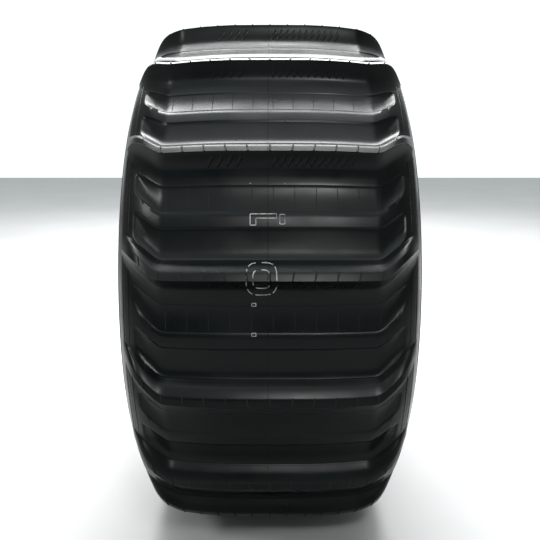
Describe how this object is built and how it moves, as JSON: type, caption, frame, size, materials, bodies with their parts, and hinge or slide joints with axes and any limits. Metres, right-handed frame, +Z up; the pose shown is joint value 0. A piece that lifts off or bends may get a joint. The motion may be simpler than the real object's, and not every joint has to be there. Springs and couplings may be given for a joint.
{
  "type": "sand paddle tyre",
  "caption": "Wide sand tyre whose tread carries straight scooped rubber paddles with swept-back ends, on a pocketed band over a plied carcass with wired beads.",
  "frame": {"origin": "centre of the tyre, on its spin axis and midway between its two sides", "axes": "+Y along the spin axis, from the left side to the right one; +Z up; +X forward, the way the scooped faces look at the top"},
  "size_m": [0.7972, 0.394, 0.7972],
  "materials": {
    "tread_rubber": "glossy moulded",
    "sidewall_rubber": "satin moulded",
    "chafer_rubber": "matt",
    "liner_rubber": "matt",
    "cord_ply": "rubbered cord",
    "filler_rubber": "matt",
    "bead_wire": "brass-coated wire"
  },
  "bodies": {
    "root": {"body_ply_outer": "cord_ply", "body_ply_inner": "cord_ply", "inner_liner": "liner_rubber", "bead_core_left": "bead_wire", "bead_filler_left": "filler_rubber", "chafer_left": "chafer_rubber", "sidewall_left": "sidewall_rubber", "bead_core_right": "bead_wire", "bead_filler_right": "filler_rubber", "chafer_right": "chafer_rubber", "sidewall_right": "sidewall_rubber", "tread_band": "tread_rubber", "paddle_01": "tread_rubber", "paddle_02": "tread_rubber", "paddle_03": "tread_rubber", "paddle_04": "tread_rubber", "paddle_05": "tread_rubber", "paddle_06": "tread_rubber", "paddle_07": "tread_rubber", "paddle_08": "tread_rubber", "paddle_09": "tread_rubber", "paddle_10": "tread_rubber", "paddle_11": "tread_rubber", "paddle_12": "tread_rubber", "paddle_13": "tread_rubber", "paddle_14": "tread_rubber", "paddle_15": "tread_rubber", "paddle_16": "tread_rubber"}
  },
  "joints": []
}
